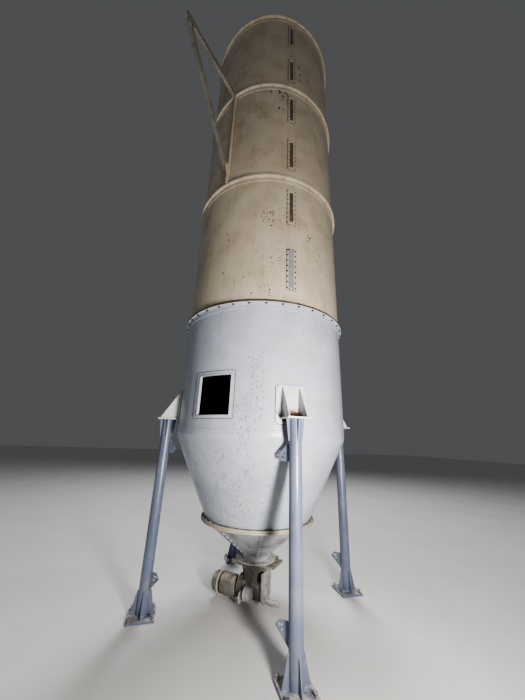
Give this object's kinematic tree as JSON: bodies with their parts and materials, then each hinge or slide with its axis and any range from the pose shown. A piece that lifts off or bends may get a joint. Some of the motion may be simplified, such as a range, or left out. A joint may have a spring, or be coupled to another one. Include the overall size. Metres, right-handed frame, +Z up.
{
  "type": "flour silo",
  "caption": "Upright bolted flour silo on tube legs, with a cone bottom, open inspection hatch, sight windows, a side console and a feeder under the outlet.",
  "frame": {"origin": "on the floor, under the middle of the whole silo; the silo's own axis stands 0.148 m from it towards +X and 0.051 m towards +Y, because the console reaches out on one side", "axes": "+Z up; the front leg and the line of sight windows face -Y; the inspection hatch and the console stand between -Y and -X"},
  "size_m": [2.7588, 2.5638, 8.5783],
  "materials": {
    "white_paint": "semi-gloss off-white paint, chipped and pitted",
    "cream_paint": "semi-gloss cream paint, dusty",
    "ring_paint": "light cream paint, dusty",
    "leg_paint": "blue-grey paint, scuffed",
    "window_frame": "dull painted frame round a dark pane",
    "blank_plate": "dull grey sheet",
    "bare_steel": "dull, grimy",
    "cast_grey": "grey paint under flour and dirt"
  },
  "bodies": {
    "root": {"lower_shell_front": "white_paint", "lower_shell_rear": "white_paint", "shell_b_front": "cream_paint", "shell_b_rear": "cream_paint", "shell_c_front": "cream_paint", "shell_c_rear": "cream_paint", "shell_d_front": "cream_paint", "shell_d_rear": "cream_paint", "flange_1": "white_paint", "flange_2": "ring_paint", "flange_3": "ring_paint", "top_flange": "ring_paint", "hopper_front": "white_paint", "hopper_rear": "white_paint", "hopper_flange": "white_paint", "cone_flange": "white_paint", "discharge_cone": "white_paint", "hatch_frame": "white_paint", "sight_window_b_lower": "blank_plate", "sight_window_b_upper": "window_frame", "sight_window_c_lower": "window_frame", "sight_window_c_upper": "window_frame", "sight_window_d_lower": "window_frame", "sight_window_d_upper": "window_frame", "bracket_front": "white_paint", "bracket_right": "white_paint", "bracket_rear": "white_paint", "bracket_left": "white_paint", "leg_front": "leg_paint", "leg_right": "leg_paint", "leg_rear": "leg_paint", "leg_left": "leg_paint", "console_post": "cream_paint", "console_low_gusset": "white_paint", "console_high_gusset": "white_paint", "console_beam": "bare_steel", "console_strut": "bare_steel", "slide_gate": "cast_grey", "feeder_neck": "cast_grey", "feeder_housing": "cast_grey", "drive_motor": "cast_grey", "inlet_drum": "cast_grey", "line_sleeve": "cast_grey", "roof_cone": "cream_paint", "manhole_neck": "ring_paint", "manhole_lid": "cream_paint", "vent_collar": "ring_paint", "fill_pipe": "ring_paint"}
  },
  "joints": []
}
